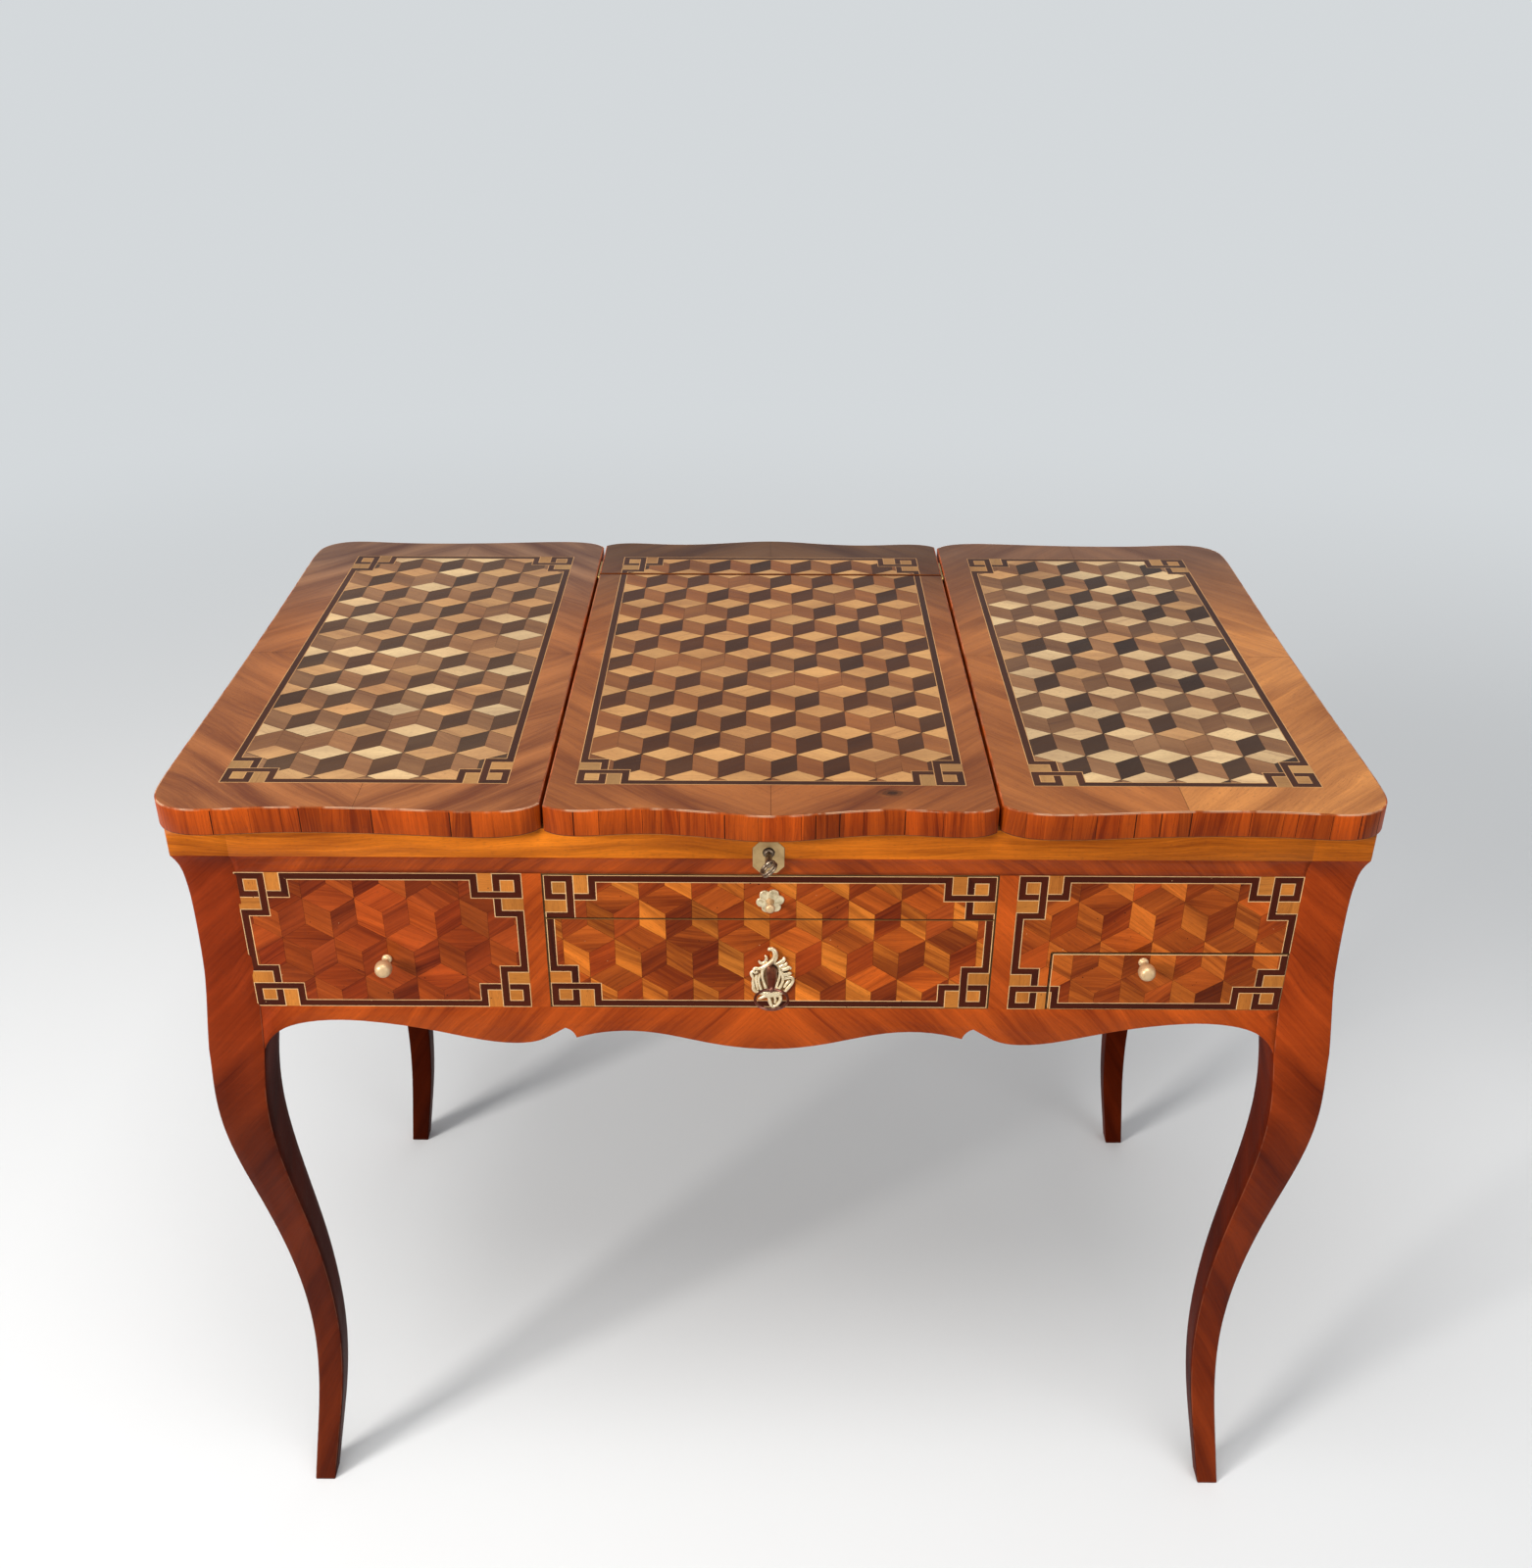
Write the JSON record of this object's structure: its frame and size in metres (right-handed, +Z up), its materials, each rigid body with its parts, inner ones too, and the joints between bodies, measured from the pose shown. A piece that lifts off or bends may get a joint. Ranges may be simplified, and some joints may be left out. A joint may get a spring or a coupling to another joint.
{
  "type": "dressing table",
  "caption": "Antique dressing table on cabriole legs with a lift-up mirror lid, two hinged side flaps, a writing slide and drawers, veneered in cube parquetry.",
  "frame": {"origin": "on the floor, under the middle of the part's bounding box", "axes": "+X to the right as seen from the front, +Y to the back, +Z up; the front faces -Y"},
  "size_m": [0.8708, 0.5605, 0.73],
  "materials": {
    "tulipwood_veneer": "waxed veneer, tulipwood and fruitwood marquetry",
    "leg_veneer": "waxed veneer, vertical grain",
    "oak_carcass": "bare oak",
    "gilt_brass": "worn gilding, dull",
    "steel": "forged, dark",
    "mirror": "silvered glass",
    "leather": "dark brown leather"
  },
  "bodies": {
    "case": {"leg_front_left": "leg_veneer", "leg_front_right": "leg_veneer", "leg_rear_left": "leg_veneer", "leg_rear_right": "leg_veneer", "front_top_rail": "tulipwood_veneer", "front_apron": "tulipwood_veneer", "side_board_left": "tulipwood_veneer", "side_board_right": "tulipwood_veneer", "back_board": "tulipwood_veneer", "partition_left": "oak_carcass", "partition_right": "oak_carcass", "left_front_panel": "tulipwood_veneer", "right_front_panel": "tulipwood_veneer", "right_drawer_stile": "tulipwood_veneer", "case_bottom": "oak_carcass", "right_well_floor": "oak_carcass", "centre_well_floor": "oak_carcass", "lid_bearer_left": "oak_carcass", "lid_bearer_right": "oak_carcass", "slide_divider": "oak_carcass", "drawer_guides": "oak_carcass", "top_rear_strip": "tulipwood_veneer", "strip_pivot_leaves": "gilt_brass", "left_hinge_case_leaves": "gilt_brass", "right_hinge_case_leaves": "gilt_brass", "left_hinge_pins": "gilt_brass", "right_hinge_pins": "gilt_brass", "false_drawer_knob": "gilt_brass", "lid_key_plate": "gilt_brass", "lid_lock_case": "steel"},
    "lid": {"lid_panel": "tulipwood_veneer", "mirror_frame": "tulipwood_veneer", "mirror_glass": "mirror", "lid_strike_plate": "gilt_brass", "lid_pivot_leaves": "gilt_brass"},
    "left_flap": {"left_flap": "tulipwood_veneer", "left_hinge_flap_leaves": "gilt_brass"},
    "right_flap": {"right_flap": "tulipwood_veneer", "right_hinge_flap_leaves": "gilt_brass"},
    "writing_slide": {"slide_board": "oak_carcass", "slide_front": "tulipwood_veneer", "slide_leather": "leather", "slide_knob": "gilt_brass"},
    "centre_drawer": {"centre_drawer_front": "tulipwood_veneer", "centre_drawer_side_left": "oak_carcass", "centre_drawer_side_right": "oak_carcass", "centre_drawer_back": "oak_carcass", "centre_drawer_bottom": "oak_carcass", "drawer_key_plate": "gilt_brass", "drawer_lock_case": "steel"},
    "small_drawer": {"small_drawer_front": "tulipwood_veneer", "small_drawer_side_left": "oak_carcass", "small_drawer_side_right": "oak_carcass", "small_drawer_back": "oak_carcass", "small_drawer_bottom": "oak_carcass", "small_drawer_knob": "gilt_brass"},
    "lid_bolt": {"lid_bolt": "steel"},
    "drawer_bolt": {"drawer_bolt": "steel"},
    "lid_key": {"lid_key": "steel"},
    "drawer_key": {"drawer_key": "steel"}
  },
  "joints": [
    {"name": "lid_hinge", "type": "hinge", "parent": "case", "child": "lid", "pos_m": [0, 0.19025, 0.727], "axis": [-1, 0, 0], "range_deg": [0, 100]},
    {"name": "left_flap_hinge", "type": "hinge", "parent": "case", "child": "left_flap", "pos_m": [-0.4318, 0.01375, 0.706], "axis": [0, -1, 0], "range_deg": [0, 180]},
    {"name": "right_flap_hinge", "type": "hinge", "parent": "case", "child": "right_flap", "pos_m": [0.4318, 0.01375, 0.706], "axis": [0, 1, 0], "range_deg": [0, 180]},
    {"name": "slide_pull", "type": "slide", "parent": "case", "child": "writing_slide", "axis": [0, -1, 0], "range_m": [0, 0.26]},
    {"name": "centre_drawer_pull", "type": "slide", "parent": "case", "child": "centre_drawer", "axis": [0, -1, 0], "range_m": [0, 0.3]},
    {"name": "small_drawer_pull", "type": "slide", "parent": "case", "child": "small_drawer", "axis": [0, -1, 0], "range_m": [0, 0.28]},
    {"name": "lid_bolt_throw", "type": "slide", "parent": "case", "child": "lid_bolt", "axis": [0, 0, 1], "range_m": [0, 0.006]},
    {"name": "lid_key_turn", "type": "hinge", "parent": "case", "child": "lid_key", "pos_m": [-0.0013, -0.24625, 0.69], "axis": [0, -1, 0], "range_deg": [0, 180]},
    {"name": "drawer_bolt_throw", "type": "slide", "parent": "centre_drawer", "child": "drawer_bolt", "axis": [0, 0, 1], "range_m": [0, 0.006]},
    {"name": "drawer_key_turn", "type": "hinge", "parent": "centre_drawer", "child": "drawer_key", "pos_m": [0.0013, -0.24625, 0.585], "axis": [0, -1, 0], "range_deg": [0, 180]}
  ],
  "couplings": [
    {"joint": "lid_key_turn", "follows": "lid_bolt_throw", "rad_per_m": 523.5},
    {"joint": "drawer_key_turn", "follows": "drawer_bolt_throw", "rad_per_m": 523.5}
  ]
}
